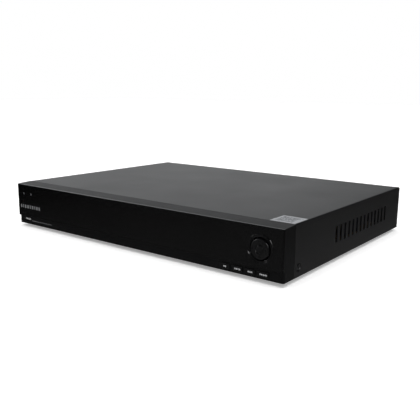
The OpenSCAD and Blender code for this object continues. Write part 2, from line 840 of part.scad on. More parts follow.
// Tongues and contact blocks inside the small sockets.
module port_inserts() {
    color([0.1, 0.1, 0.1]) on_case() {
        slab(hdmi_pos + [0, 0.4], 11, 1.2, 267, lip_y - 1);
        for (s = [-1, 1]) slab(stack_pos + [0, s * 3.9 + 0.7], 10.6, 1.8, 264, lip_y - 0.6);
        slab(lan_pos + [0, 3.6], 8.6, 2.1, 262, lip_y - 4);
    }
}

// ---------- power ----------

module power_parts() {
    color([0.15, 0.15, 0.18]) on_case() {
        rod_z([166, 196], pcb_top, pcb_top + 27, 9);
        rod_z([126, 222], pcb_top, pcb_top + 18, 5);
        rod_z([138, 222], pcb_top, pcb_top + 18, 5);
        block([150, 166], [222, 238], [pcb_top, pcb_top + 14]);
        block([170, 173], [160, 184], [pcb_top, pcb_top + 26]);
        block([118, 121], [176, 206], [pcb_top, pcb_top + 26]);
    }
}

module power_transformer() {
    color([0.75, 0.6, 0.2]) on_case() {
        block([130, 154], [178, 208], [pcb_top, pcb_top + 20]);
        block([134, 150], [174, 212], [pcb_top + 4, pcb_top + 16]);
    }
}

// The mains socket's outline: a rectangle with its two upper corners cut off.
module inlet_outline(w, h, cut) {
    translate(inlet_pos) polygon([
        [-w / 2, -h / 2], [w / 2, -h / 2], [w / 2, h / 2 - cut], [w / 2 - cut, h / 2],
        [-w / 2 + cut, h / 2], [-w / 2, h / 2 - cut]
    ]);
}

module ac_inlet() {
    color([0.05, 0.05, 0.05]) on_case() difference() {
        union() {
            along_y(panel_y - 16, lip_y + eps) inlet_outline(27.6, 20, 1);
            along_y(lip_y, lip_y + 3) rounded(inlet_pos, 31, 24, 2);
        }
        along_y(lip_y - 14, lip_y + 4) inlet_outline(24.6, 16.6, 4);
        for (s = [-1:1]) slab(inlet_pos + [7 * s, abs(s) * -4 + 2], 2.2, 4.2, panel_y - 20, lip_y);
    }
}

module ac_inlet_pins() {
    color([0.82, 0.8, 0.72]) on_case()
        for (s = [-1:1]) slab(inlet_pos + [7 * s, abs(s) * -4 + 2], 2, 4, panel_y - 22, lip_y - 1.6);
}

module switch_housing() {
    color([0.05, 0.05, 0.05]) on_case() difference() {
        union() {
            slab(switch_pos, 13, 19, panel_y - 14, lip_y + eps);
            slab(switch_pos, 15, 21, lip_y, lip_y + 1.6);
        }
        slab(switch_pos, 10, 15.6, panel_y - 6, lip_y + 4);
        rod_x([lip_y - 1, switch_pos[1]], switch_pos[0] - 6, switch_pos[0] + 6, 1.05);
    }
}

// The rocker rests pressed in at the bottom; it turns about pins in its housing's two cheeks.
module switch_rocker() {
    color([0.08, 0.08, 0.08]) on_case() translate([switch_pos[0], lip_y - 1, switch_pos[1]]) {
        rotate([-rocker_angle / 2, 0, 0]) along_x(-4.6, 4.6) polygon([
            [-2.4, -2.5], [0.2, -7], [4.4, -7], [3, 0], [4.4, 7], [0.2, 7], [-2.4, 2.5]
        ]);
        rod_x([0, 0], -5.8, 5.8, 1);
    }
}

// ---------- fan ----------

module fan_frame() {
    color([0.06, 0.06, 0.06]) on_case() difference() {
        union() {
            difference() {
                along_y(fan_y, panel_y - 0.1) rounded(fan_pos, 2 * fan_half, 2 * fan_half, 3);
                rod_y(fan_pos, fan_y - 1, panel_y + 1, fan_bore_r);
            }
            rod_y(fan_pos, fan_y, fan_y + 1.4, 10);
            rod_y(fan_pos, fan_y, fan_y + 6, 2.4);
            for (a = [30, 150, 270]) translate([fan_pos[0], 0, fan_pos[1]]) rotate([0, a, 0])
                block([9, fan_bore_r + 0.4], [fan_y, fan_y + 1.4], [-1, 1]);
        }
        for (sx = [-1, 1], sz = [-1, 1])
            rod_y(fan_pos + [sx * fan_hole, sz * fan_hole], fan_y - 1, panel_y, 1.6);
        rod_y(fan_pos, fan_y + 1, fan_y + 7, 1.05);
    }
}

module fan_rotor() {
    hub_front = fan_y + 9.2;
    color([0.1, 0.1, 0.1]) on_case() {
        difference() {
            rod_y(fan_pos, fan_y + 1.9, hub_front, fan_hub_r);
            rod_y(fan_pos, fan_y + 1, fan_y + 7.2, 9.2);
        }
        rod_y(fan_pos, fan_y + 1.4, fan_y + 8, 1);
        intersection() {
            difference() {
                rod_y(fan_pos, fan_y + 2.2, hub_front - 0.4, fan_blade_r);
                rod_y(fan_pos, fan_y, hub_front, fan_hub_r - 0.2);
            }
            translate([fan_pos[0], fan_y + 5.5, fan_pos[1]])
                for (k = [0:6]) rotate([0, k * 360 / 7, 0]) rotate([38, 0, 0])
                    translate([8, -6, -0.5]) cube([14, 12, 1]);
        }
    }
}

module fan_screws() {
    color([0.7, 0.7, 0.7]) on_case() for (sx = [-1, 1], sz = [-1, 1])
        translate([fan_pos[0] + sx * fan_hole, lip_y, fan_pos[1] + sz * fan_hole])
            rotate([-90, 0, 0]) pan_screw(9);
}

// ---------- drive ----------

// A cast tray with the spindle's and the arm's fixed shafts, and a pocket below for its board.
module drive_base() {
    floor_z = 9;
    color([0.7, 0.7, 0.72]) on_case() {
        difference() {
            block(drive_x, drive_y, [drive_z[0], drive_z[1] - 2]);
            rod_z(spindle, floor_z, 40, platter_r + 1.8);
            block([-112, -38], [42, 126], [floor_z, 40]);
            block([-140, -60], [drive_y[0] + 8, drive_y[1] - 8], [3, 6.2]);
            for (p = drive_holes) rod_z(p, 3, 8, 1.5);
        }
        rod_z(spindle, floor_z - 1, 25, spindle_r);
        rod_z(arm_pivot, floor_z - 1, 25, arm_shaft_r);
    }
}

module drive_cover() {
    color([0.8, 0.8, 0.82]) on_case() block(drive_x, drive_y, [drive_z[1] - 2, drive_z[1]]);
}

module drive_platters() {
    color([0.85, 0.86, 0.88]) on_case() difference() {
        union() {
            rod_z(spindle, 9.3, 24, 12.5);
            for (z = platter_z) rod_z(spindle, z, z + 1.2, platter_r);
        }
        rod_z(spindle, 9, 25, spindle_r + bearing_fit);
    }
}

// Parked clear of the platters, one arm above each.
module drive_head_arm() {
    reach = 54;
    toward = atan2(spindle[1] - arm_pivot[1], spindle[0] - arm_pivot[0]);
    color([0.75, 0.76, 0.78]) on_case() translate([arm_pivot[0], arm_pivot[1], 0])
        rotate([0, 0, toward + arm_park]) difference() {
            union() {
                rod_z([0, 0], 9.3, 24, 6);
                for (z = platter_z) translate([0, 0, z + 2.6]) linear_extrude(1)
                    polygon([[0, -6], [reach, -1.5], [reach, 1.5], [0, 6]]);
            }
            rod_z([0, 0], 9, 25, arm_shaft_r + bearing_fit);
        }
}

module drive_board() {
    color([0.08, 0.3, 0.15]) on_case()
        block([-138, -62], [drive_y[0] + 10, drive_y[1] - 10], [drive_z[0] + 0.4, drive_z[0] + 2]);
}

module drive_screws() {
    color([0.72, 0.72, 0.72]) on_case()
        for (p = drive_holes)
            translate([p[0], p[1], drive_seat_z]) mirror([0, 0, 1]) pan_screw(5.2, shank_r = 1.45);
}

// ---------- wiring ----------

// Bundles from each front board, the drive, the fan and the mains parts to their headers.
module internal_cables() {
    wire_z = pcb_top + 8;
    floor_z = 4;
    color([0.15, 0.15, 0.15]) on_case() {
        bundle([[-158, 21.6, 23], [-158, 26, 23], [-184, 26, 23], [-184, 130, 23], [-176, 150, 32],
            [-54, 175, 32], [-54, 175, wire_z]], 1.6, 4);
        bundle([[140, 21.6, 23], [140, 34, 23], [100, 60, floor_z], [20, 130, floor_z],
            [6, 160, 12], [6, 175, 28], [6, 175, wire_z]], 1.6, 5);
        bundle([[-25, 67, 8], [-6, 67, 8], [-2, 120, 8], [30, 155, 30], [30, 175, 30],
            [30, 175, wire_z]], 2);
        bundle([[-25, 90, 8], [-16, 90, 8], [-16, 120, 8], [-23, 155, 28], [-23, 175, 28],
            [-23, 175, wire_z]], 2, 4);
        bundle([[127, 163, wire_z], [127, 163, 30], [80, 175, 34], [40, 175, 34], [40, 175, wire_z]], 2);
        bundle([[65, 273, 10], [58, 273, 10], [50, 262, 24], [34, 253, 24], [34, 253, pcb_top + 6]], 1, 4);
        bundle([[130, 235, wire_z], [130, 235, 31], [142, 252, 31], [154, 250, 21], [154, 256, 21]],
            1.6, 4);
    }
}

chassis();
top_cover();
front_bezel();
fascia();
pad_trim_ring();
indicator_lenses();
infrared_window();
top_label();
rubber_feet();
cover_screws();
bezel_screws();
nav_gimbal();
nav_pad();
ok_button();
key_1();
key_2();
key_3();
key_4();
key_board();
usb_board();
tact_switches();
front_leds();
front_usb_shell();
front_usb_tongue();
main_board();
board_standoffs();
board_screws();
board_chips();
chip_heatsink();
board_capacitors();
backup_battery();
board_headers();
connector_housings();
bnc_barrels();
bnc_insulators();
bnc_contacts();
rca_shells();
rca_inserts();
vga_shell();
vga_insert();
vga_posts();
port_shells();
port_inserts();
power_board();
power_parts();
power_transformer();
ac_inlet();
ac_inlet_pins();
switch_housing();
switch_rocker();
fan_frame();
fan_rotor();
fan_screws();
drive_base();
drive_cover();
drive_platters();
drive_head_arm();
drive_board();
drive_screws();
internal_cables();
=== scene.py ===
"""Looks for the desktop video recorder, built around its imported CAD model.

Shapes are made in case millimetres: x to the right, y back from the fascia's face and z up from the
case's underside. A piece is turned into metres in the row's frame when it is finished.
"""
import json
import math
import random

import bmesh
import bpy
from mathutils import Matrix, Vector
from mathutils.geometry import tessellate_polygon


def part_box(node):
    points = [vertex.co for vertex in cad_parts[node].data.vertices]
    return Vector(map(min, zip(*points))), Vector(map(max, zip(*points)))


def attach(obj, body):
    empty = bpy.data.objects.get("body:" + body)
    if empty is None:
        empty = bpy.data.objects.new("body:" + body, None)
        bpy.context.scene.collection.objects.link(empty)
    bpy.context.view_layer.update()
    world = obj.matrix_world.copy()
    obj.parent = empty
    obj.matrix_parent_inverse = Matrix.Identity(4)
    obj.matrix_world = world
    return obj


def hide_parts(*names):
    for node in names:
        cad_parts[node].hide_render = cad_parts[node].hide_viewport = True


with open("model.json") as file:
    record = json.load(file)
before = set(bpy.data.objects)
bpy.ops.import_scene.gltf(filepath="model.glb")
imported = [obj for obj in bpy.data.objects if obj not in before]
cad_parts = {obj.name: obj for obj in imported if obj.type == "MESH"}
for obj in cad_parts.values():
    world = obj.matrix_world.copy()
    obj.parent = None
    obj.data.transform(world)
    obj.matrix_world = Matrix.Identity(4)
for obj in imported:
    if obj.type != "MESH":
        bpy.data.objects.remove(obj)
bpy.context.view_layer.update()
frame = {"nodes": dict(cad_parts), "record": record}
NODES = frame["nodes"]
MM = 0.001
CASE_ORIGIN = Vector((0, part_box("fascia")[0].y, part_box("front_bezel")[0].z))
random.seed(11)


def case_box(node):
    """A CAD node's lowest and highest corner, in case millimetres."""
    low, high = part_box(node)
    return (low - CASE_ORIGIN) / MM, (high - CASE_ORIGIN) / MM


def middle(node):
    low, high = case_box(node)
    return (low + high) / 2


# ---------- camera and stage ----------

VIEW_AZIMUTH = 37.26
VIEW_ELEVATION = 11.76
VIEW_ROLL = 0.552
VIEW_DISTANCE = 0.6060
VIEW_RIGHT = 0.0886
VIEW_UP = 0.0399
LENS = 48.99
SENSOR = 36
CLIP_NEAR, CLIP_FAR = 0.02, 60

# The room's light against direction, and the reflection card's against place, as (position, level).
ROOM_ACROSS = [(-1.0, 1.15), (-0.8, 1.1), (-0.5, 1.05), (-0.42, 0.88), (-0.35, 0.72), (-0.2, 0.1),
               (1.0, 0.04)]
ROOM_UPWARD = [(0.0, 0.78), (0.13, 0.78), (0.16, 0.68), (0.19, 0.55), (0.22, 0.46), (0.3, 0.36),
               (0.5, 0.22), (1.0, 0.2)]
ROOM_DEEP = [(-1.0, 0.3), (0.0, 0.3), (0.3, 1.0)]
CARD_ACROSS = [(-0.43, 0.0), (0.12, 0.13), (0.2, 0.13), (0.27, 0.1), (0.32, 0.07), (0.5, 0.055)]
CARD_DEEP = [(-0.1, 1.0), (0.35, 0.55)]
FLOOR_SIZE = 14
FLOOR_GLOW = 0.3
CARD_SIZE = 12
CARD_LIFT = 0.0004
OVERHEAD_STRENGTH, OVERHEAD_SPREAD = 2.9, 70


def make_camera():
    """Looks at the case from its front right, a little above, as in the photograph."""
    az, el, roll = (math.radians(v) for v in (VIEW_AZIMUTH, VIEW_ELEVATION, VIEW_ROLL))
    back = Vector((math.sin(az) * math.cos(el), -math.cos(az) * math.cos(el), math.sin(el)))
    level = Vector((math.cos(az), math.sin(az), 0))
    upright = back.cross(level)
    right = level * math.cos(roll) + upright * math.sin(roll)
    up = upright * math.cos(roll) - level * math.sin(roll)
    data = bpy.data.cameras.new("camera")
    data.lens, data.sensor_width = LENS, SENSOR
    data.clip_start, data.clip_end = CLIP_NEAR, CLIP_FAR
    camera = bpy.data.objects.new("camera", data)
    bpy.context.scene.collection.objects.link(camera)
    place = CASE_ORIGIN + back * VIEW_DISTANCE + right * VIEW_RIGHT + up * VIEW_UP
    camera.matrix_world = Matrix((
        (right.x, up.x, back.x, place.x),
        (right.y, up.y, back.y, place.y),
        (right.z, up.z, back.z, place.z),
        (0, 0, 0, 1),
    ))
    bpy.context.scene.camera = camera


def area_light(name, place, target, size, power):
    data = bpy.data.lights.new(name, "AREA")
    data.shape, data.size, data.size_y = "RECTANGLE", size[0], size[1]
    data.energy = power
    light = bpy.data.objects.new(name, data)
    light.location = place
    light.rotation_euler = (Vector(target) - Vector(place)).to_track_quat("-Z", "Y").to_euler()
    bpy.context.scene.collection.objects.link(light)


def grey_ramp(nodes, steps):
    """A colour ramp through (position, level) steps of grey."""
    ramp = nodes.new("ShaderNodeValToRGB")
    elements = ramp.color_ramp.elements
    for _ in steps[2:]:
        elements.new(0.5)
    for element, (position, level) in zip(elements, steps):
        element.position = position
        element.color = (level, level, level, 1)
    return ramp


def make_world():
    """White behind everything that the camera sees; a dimmer room, fading upward, lights the object."""
    world = bpy.data.worlds.new("studio")
    bpy.context.scene.world = world
    world.use_nodes = True
    nodes, links = world.node_tree.nodes, world.node_tree.links
    nodes.clear()
    out = nodes.new("ShaderNodeOutputWorld")
    mix = nodes.new("ShaderNodeMixShader")
    path = nodes.new("ShaderNodeLightPath")
    seen = nodes.new("ShaderNodeBackground")
    seen.inputs["Color"].default_value = (1, 1, 1, 1)
    room = nodes.new("ShaderNodeBackground")
    room.inputs["Color"].default_value = (0.97, 0.985, 1, 1)
    place = nodes.new("ShaderNodeTexCoord")
    split = nodes.new("ShaderNodeSeparateXYZ")
    upward = grey_ramp(nodes, ROOM_UPWARD)
    links.new(place.outputs["Generated"], split.inputs["Vector"])
    links.new(split.outputs["Z"], upward.inputs["Fac"])
    light = upward.outputs["Color"]
    for axis, steps in (("X", ROOM_ACROSS), ("Y", ROOM_DEEP)):
        shift = nodes.new("ShaderNodeMapRange")
        shift.inputs["From Min"].default_value = -1
        ramp = grey_ramp(nodes, [((at + 1) / 2, level) for at, level in steps])
        product = nodes.new("ShaderNodeMath")
        product.operation = "MULTIPLY"
        links.new(split.outputs[axis], shift.inputs["Value"])
        links.new(shift.outputs["Result"], ramp.inputs["Fac"])
        links.new(ramp.outputs["Color"], product.inputs[0])
        links.new(light, product.inputs[1])
        light = product.outputs["Value"]
    links.new(light, room.inputs["Strength"])
    links.new(path.outputs["Is Camera Ray"], mix.inputs["Fac"])
    links.new(room.outputs["Background"], mix.inputs[1])
    links.new(seen.outputs["Background"], mix.inputs[2])
    links.new(mix.outputs["Shader"], out.inputs["Surface"])


def make_floor():
    """A pale sheet of paper, and a dark card just over it that only glossy reflections see."""
    bpy.ops.mesh.primitive_grid_add(x_subdivisions=2, y_subdivisions=2, size=FLOOR_SIZE)
    floor = bpy.context.object
    floor.name = "floor"
    paint = bpy.data.materials.new("floor_paper")
    paint.use_nodes = True
    shader = paint.node_tree.nodes["Principled BSDF"]
    shader.inputs["Base Color"].default_value = (0.93, 0.93, 0.93, 1)
    shader.inputs["Roughness"].default_value = 0.9
    shader.inputs["Specular IOR Level"].default_value = 0.1
    shader.inputs["Emission Color"].default_value = (1, 1, 1, 1)
    shader.inputs["Emission Strength"].default_value = FLOOR_GLOW
    floor.data.materials.append(paint)
    bpy.ops.mesh.primitive_grid_add(x_subdivisions=2, y_subdivisions=2, size=CARD_SIZE,
                                    location=(0, 0, CARD_LIFT))
    card = bpy.context.object
    card.name = "reflection_card"
    shade = bpy.data.materials.new("card_grey")
    shade.use_nodes = True
    nodes, links = shade.node_tree.nodes, shade.node_tree.links
    nodes.clear()
    out = nodes.new("ShaderNodeOutputMaterial")
    glow = nodes.new("ShaderNodeEmission")
    place = nodes.new("ShaderNodeTexCoord")
    split = nodes.new("ShaderNodeSeparateXYZ")
    product = nodes.new("ShaderNodeMath")
    product.operation = "MULTIPLY"
    links.new(place.outputs["Object"], split.inputs["Vector"])
    for axis, steps, socket in (("X", CARD_ACROSS, 0), ("Y", CARD_DEEP, 1)):
        shift = nodes.new("ShaderNodeMapRange")
        shift.inputs["From Min"].default_value, shift.inputs["From Max"].default_value = -0.5, 0.5
        ramp = grey_ramp(nodes, [(at + 0.5, level) for at, level in steps])
        links.new(split.outputs[axis], shift.inputs["Value"])
        links.new(shift.outputs["Result"], ramp.inputs["Fac"])
        links.new(ramp.outputs["Color"], product.inputs[socket])
    links.new(product.outputs["Value"], glow.inputs["Strength"])
    links.new(glow.outputs["Emission"], out.inputs["Surface"])
    card.data.materials.append(shade)
    for sight in ("camera", "diffuse", "transmission", "volume_scatter", "shadow"):
        setattr(card, f"visible_{sight}", False)


def sun_light(strength, spread):
    """Soft, even light from straight above, kept out of glossy reflections."""
    data = bpy.data.lights.new("overhead", "SUN")
    data.energy, data.angle = strength, math.radians(spread)
    light = bpy.data.objects.new("overhead", data)
    light.visible_glossy = False
    bpy.context.scene.collection.objects.link(light)


def make_stage():
    bpy.context.scene.view_settings.view_transform = "Standard"
    make_world()
    make_floor()
    sun_light(OVERHEAD_STRENGTH, OVERHEAD_SPREAD)
    area_light("front_right", (1.11, -0.85, 0.68), (0.16, -0.14, 0.03), (0.16, 0.95), 5.5)
    area_light("left_low", (-0.8, -0.75, 0.35), (0.1, 0, 0.03), (0.2, 0.3), 1.5)


# ---------- materials ----------

def finish_material(name, colour, rough, spec=0.5, metal=0.0, grain=0.0, grain_size=0.4, mottle=0.12,
                    mottle_size=60.0, coat=0.0, rough_spread=0.08, lighten=0.25):
    """A surface whose colour and roughness drift gently and whose grain is a fine bump.

    grain is the bump's depth and grain_size its cell, both in millimetres; mottle_size is in
    millimetres too, and lighten is how far the drift brightens or darkens the colour."""
    material = bpy.data.materials.new(name)
    material.use_nodes = True
    tree = material.node_tree
    nodes, links = tree.nodes, tree.links
    shader = nodes["Principled BSDF"]
    shader.inputs["Metallic"].default_value = metal
    shader.inputs["Specular IOR Level"].default_value = spec
    if coat:
        shader.inputs["Coat Weight"].default_value = coat
        shader.inputs["Coat Roughness"].default_value = 0.12
    place = nodes.new("ShaderNodeTexCoord")
    drift = nodes.new("ShaderNodeTexNoise")
    drift.inputs["Scale"].default_value = 1 / (mottle_size * MM)
    drift.inputs["Detail"].default_value = 5
    links.new(place.outputs["Object"], drift.inputs["Vector"])
    tone = nodes.new("ShaderNodeValToRGB")
    tone.color_ramp.elements[0].position = 0.5 - mottle * 2
    tone.color_ramp.elements[1].position = 0.5 + mottle * 2
    tone.color_ramp.elements[0].color = (*(c * (1 - lighten) for c in colour), 1)
    tone.color_ramp.elements[1].color = (*(min(c * (1 + lighten), 1) for c in colour), 1)
    links.new(drift.outputs["Fac"], tone.inputs["Fac"])
    links.new(tone.outputs["Color"], shader.inputs["Base Color"])
    speck = nodes.new("ShaderNodeTexNoise")
    speck.inputs["Scale"].default_value = 1 / (grain_size * MM)
    speck.inputs["Detail"].default_value = 3
    links.new(place.outputs["Object"], speck.inputs["Vector"])
    gloss = nodes.new("ShaderNodeMapRange")
    gloss.inputs["To Min"].default_value = max(rough - rough_spread, 0.02)
    gloss.inputs["To Max"].default_value = min(rough + rough_spread, 1)
    blend = nodes.new("ShaderNodeMath")
    blend.operation = "MULTIPLY_ADD"
    blend.inputs[1].default_value = 0.5
    links.new(speck.outputs["Fac"], blend.inputs[0])
    half = nodes.new("ShaderNodeMath")
    half.operation = "MULTIPLY"
    half.inputs[1].default_value = 0.5
    links.new(drift.outputs["Fac"], half.inputs[0])
    links.new(half.outputs["Value"], blend.inputs[2])
    links.new(blend.outputs["Value"], gloss.inputs["Value"])
    links.new(gloss.outputs["Result"], shader.inputs["Roughness"])
    if grain:
        bump = nodes.new("ShaderNodeBump")
        bump.inputs["Distance"].default_value = grain * MM
        bump.inputs["Strength"].default_value = 0.6
        links.new(speck.outputs["Fac"], bump.inputs["Height"])
        links.new(bump.outputs["Normal"], shader.inputs["Normal"])
    return material


def brushed_material(name, colour, rough, along="X"):
    """Bare or plated metal with fine streaks along one axis."""
    material = finish_material(name, colour, rough, metal=1.0, lighten=0.1)
    tree = material.node_tree
    nodes, links = tree.nodes, tree.links
    place = nodes.new("ShaderNodeTexCoord")
    stretch = nodes.new("ShaderNodeMapping")
    fine, long = 2500, 60
    stretch.inputs["Scale"].default_value = [long if a == along else fine for a in "XYZ"]
    streak = nodes.new("ShaderNodeTexNoise")
    streak.inputs["Scale"].default_value = 1
    bump = nodes.new("ShaderNodeBump")
    bump.inputs["Distance"].default_value = 0.01 * MM
    bump.inputs["Strength"].default_value = 0.5
    links.new(place.outputs["Object"], stretch.inputs["Vector"])
    links.new(stretch.outputs["Vector"], streak.inputs["Vector"])
    links.new(streak.outputs["Fac"], bump.inputs["Height"])
    links.new(bump.outputs["Normal"], nodes["Principled BSDF"].inputs["Normal"])
    return material


def make_materials():
    return {
        "case_paint": finish_material("case_paint", (0.007, 0.007, 0.0074), 0.34, 0.45, grain=0.012,
                                      grain_size=0.35),
        "bezel_plastic": finish_material("bezel_plastic", (0.0024, 0.0025, 0.0028), 0.36, 0.25,
                                         grain=0.006, grain_size=0.25),
        "fascia_gloss": finish_material("fascia_gloss", (0.0014, 0.0014, 0.0015), 0.2, 0.4,
                                        grain=0.0, rough_spread=0.05),
        "ring_gloss": finish_material("ring_gloss", (0.002, 0.002, 0.0022), 0.12, 0.4,
                                      rough_spread=0.04),
        "pad_plastic": finish_material("pad_plastic", (0.003, 0.003, 0.0033), 0.22, 0.45, grain=0.004,
                                       grain_size=0.2),
        "key_plastic": finish_material("key_plastic", (0.003, 0.003, 0.0033), 0.3, 0.35, grain=0.004,
                                       grain_size=0.2),
        "lens_clear": finish_material("lens_clear", (0.06, 0.062, 0.067), 0.3, 0.4),
        "infrared_tint": finish_material("infrared_tint", (0.0045, 0.0022, 0.0025), 0.12, 0.4),
        "label_paper": finish_material("label_paper", (0.31, 0.32, 0.333), 0.5, 0.3, grain=0.003,
                                       grain_size=0.3, lighten=0.05),
        "legend_white": finish_material("legend_white", (0.36, 0.362, 0.37), 0.6, 0.3, lighten=0.05),
        "print_grey": finish_material("print_grey", (0.125, 0.127, 0.131), 0.6, 0.3, lighten=0.05),
        "label_ink": finish_material("label_ink", (0.03, 0.031, 0.035), 0.6, 0.3),
        "foot_rubber": finish_material("foot_rubber", (0.012, 0.012, 0.012), 0.75, 0.3, grain=0.03,
                                       grain_size=0.6),
        "screw_steel": finish_material("screw_steel", (0.62, 0.62, 0.64), 0.28, metal=1.0, lighten=0.1),
        # A darker copy of screw_steel for the side screws: painted shade for heads sunk in their dimples.
        "shade_darkened_screw": finish_material("shade_darkened_screw", (0.14, 0.14, 0.145), 0.26, metal=1.0, lighten=0.1),
        # A darker copy of the port steel for the front USB shell: painted shade inside its opening.
        "shaded_steel": brushed_material("shaded_steel", (0.2, 0.2, 0.205), 0.3, "Y"),
        "inner_plastic": finish_material("inner_plastic", (0.03, 0.03, 0.033), 0.5, 0.4, grain=0.01),
        "circuit_board": finish_material("circuit_board", (0.012, 0.085, 0.04), 0.35, 0.5, coat=0.3,
                                         mottle_size=8, lighten=0.4),
        "power_circuit_board": finish_material("power_circuit_board", (0.16, 0.11, 0.06), 0.6, 0.4,
                                               mottle_size=10),
        "port_steel": brushed_material("port_steel", (0.62, 0.62, 0.63), 0.28, "Y"),
        "usb_white": finish_material("usb_white", (0.34, 0.34, 0.34), 0.4, 0.5, lighten=0.03),
        "brass_parts": finish_material("brass_parts", (0.66, 0.48, 0.2), 0.3, metal=1.0, lighten=0.1),
        "chip_black": finish_material("chip_black", (0.012, 0.012, 0.012), 0.55, 0.4, grain=0.01),
        "bare_aluminium": brushed_material("bare_aluminium", (0.6, 0.61, 0.62), 0.4),
        "capacitor_sleeve": finish_material("capacitor_sleeve", (0.012, 0.012, 0.03), 0.3, 0.5),
        "header_plastic": finish_material("header_plastic", (0.70, 0.68, 0.60), 0.5, 0.4, lighten=0.06),
        "socket_black": finish_material("socket_black", (0.012, 0.012, 0.012), 0.42, 0.4, grain=0.01,
                                        grain_size=0.3),
        "nickel": finish_material("nickel", (0.66, 0.65, 0.63), 0.2, metal=1.0, lighten=0.08),
        "insulator_white": finish_material("insulator_white", (0.78, 0.78, 0.75), 0.4, 0.5, lighten=0.05),
        "gold_contact": finish_material("gold_contact", (0.83, 0.58, 0.2), 0.22, metal=1.0, lighten=0.06),
        "vga_blue": finish_material("vga_blue", (0.012, 0.045, 0.25), 0.4, 0.5, lighten=0.15),
        "transformer_tape": finish_material("transformer_tape", (0.30, 0.22, 0.06), 0.45, 0.4),
        "fan_plastic": finish_material("fan_plastic", (0.012, 0.012, 0.012), 0.4, 0.4, grain=0.01),
        "drive_steel": brushed_material("drive_steel", (0.62, 0.62, 0.63), 0.32),
        "platter_mirror": finish_material("platter_mirror", (0.8, 0.81, 0.83), 0.06, metal=1.0,
                                          rough_spread=0.02, lighten=0.02),
        "cable_sleeve": finish_material("cable_sleeve", (0.02, 0.02, 0.02), 0.5, 0.4, grain=0.02),
    }


# ---------- mesh building ----------

def rounded_rect(cx, cy, w, h, r, steps=6):
    """A loop of points round a rectangle, as a function of how far it is set in."""
    def loop(inset):
        half_w, half_h, rr = w / 2 - inset, h / 2 - inset, max(r - inset, 0.02)
        points = []
        for k, (sx, sy) in enumerate(((1, 1), (-1, 1), (-1, -1), (1, -1))):
            for s in range(steps + 1):
                a = math.radians(90 * k + 90 * s / steps)
                points.append((cx + sx * (half_w - rr) + rr * math.cos(a),
                               cy + sy * (half_h - rr) + rr * math.sin(a)))
        return points
    return loop


def circle(cx, cy, r, steps=48):
    def loop(inset):
        turn = [2 * math.pi * k / steps for k in range(steps)]
        return [(cx + (r - inset) * math.cos(a), cy + (r - inset) * math.sin(a)) for a in turn]
    return loop


def rim(loop, depth, edge=0.3, arc=4, hole=False):
    """Rings down the side of a plate, as (level, points), with its front edge rounded."""
    sign = -1 if hole else 1
    turns = [math.radians(90 * k / arc) for k in range(arc + 1)]
    rings = [(edge * (1 - math.cos(t)), loop(sign * edge * (1 - math.sin(t)))) for t in turns]
    return rings + [(depth, loop(0))]


def eased(profile, radius, steps=4):
    """A polyline with its corners rounded; radius is one number, or one for each point."""
    out = []
    for i, p in enumerate(profile):
        r = radius[i] if isinstance(radius, (list, tuple)) else radius
        if i in (0, len(profile) - 1) or not r:
            out.append(tuple(p))
            continue
        before, corner, after = (Vector(q) for q in profile[i - 1:i + 2])
        r = min(r, (before - corner).length * 0.48, (after - corner).length * 0.48)
        a = corner + (before - corner).normalized() * r
        b = corner + (after - corner).normalized() * r
        for s in range(steps + 1):
            t = s / steps
            out.append(tuple(a * (1 - t) ** 2 + corner * 2 * t * (1 - t) + b * t * t))
    return out


def front_at(y):
    """Maps a flat outline in X and Z, and a depth, to a place behind the plane at y."""
    return lambda u, v, depth: Vector((u, y + depth, v))


def top_at(z):
    """Maps a flat outline in X and Y, and a depth, to a place under the plane at z."""
    return lambda u, v, depth: Vector((u, v, z - depth))


def side_at(x):
    """Maps a flat outline in Y and Z, and a depth, to a place inward from the plane at x."""
    return lambda u, v, depth: Vector((x - math.copysign(depth, x), u, v))


SHARP_ANGLE = 32


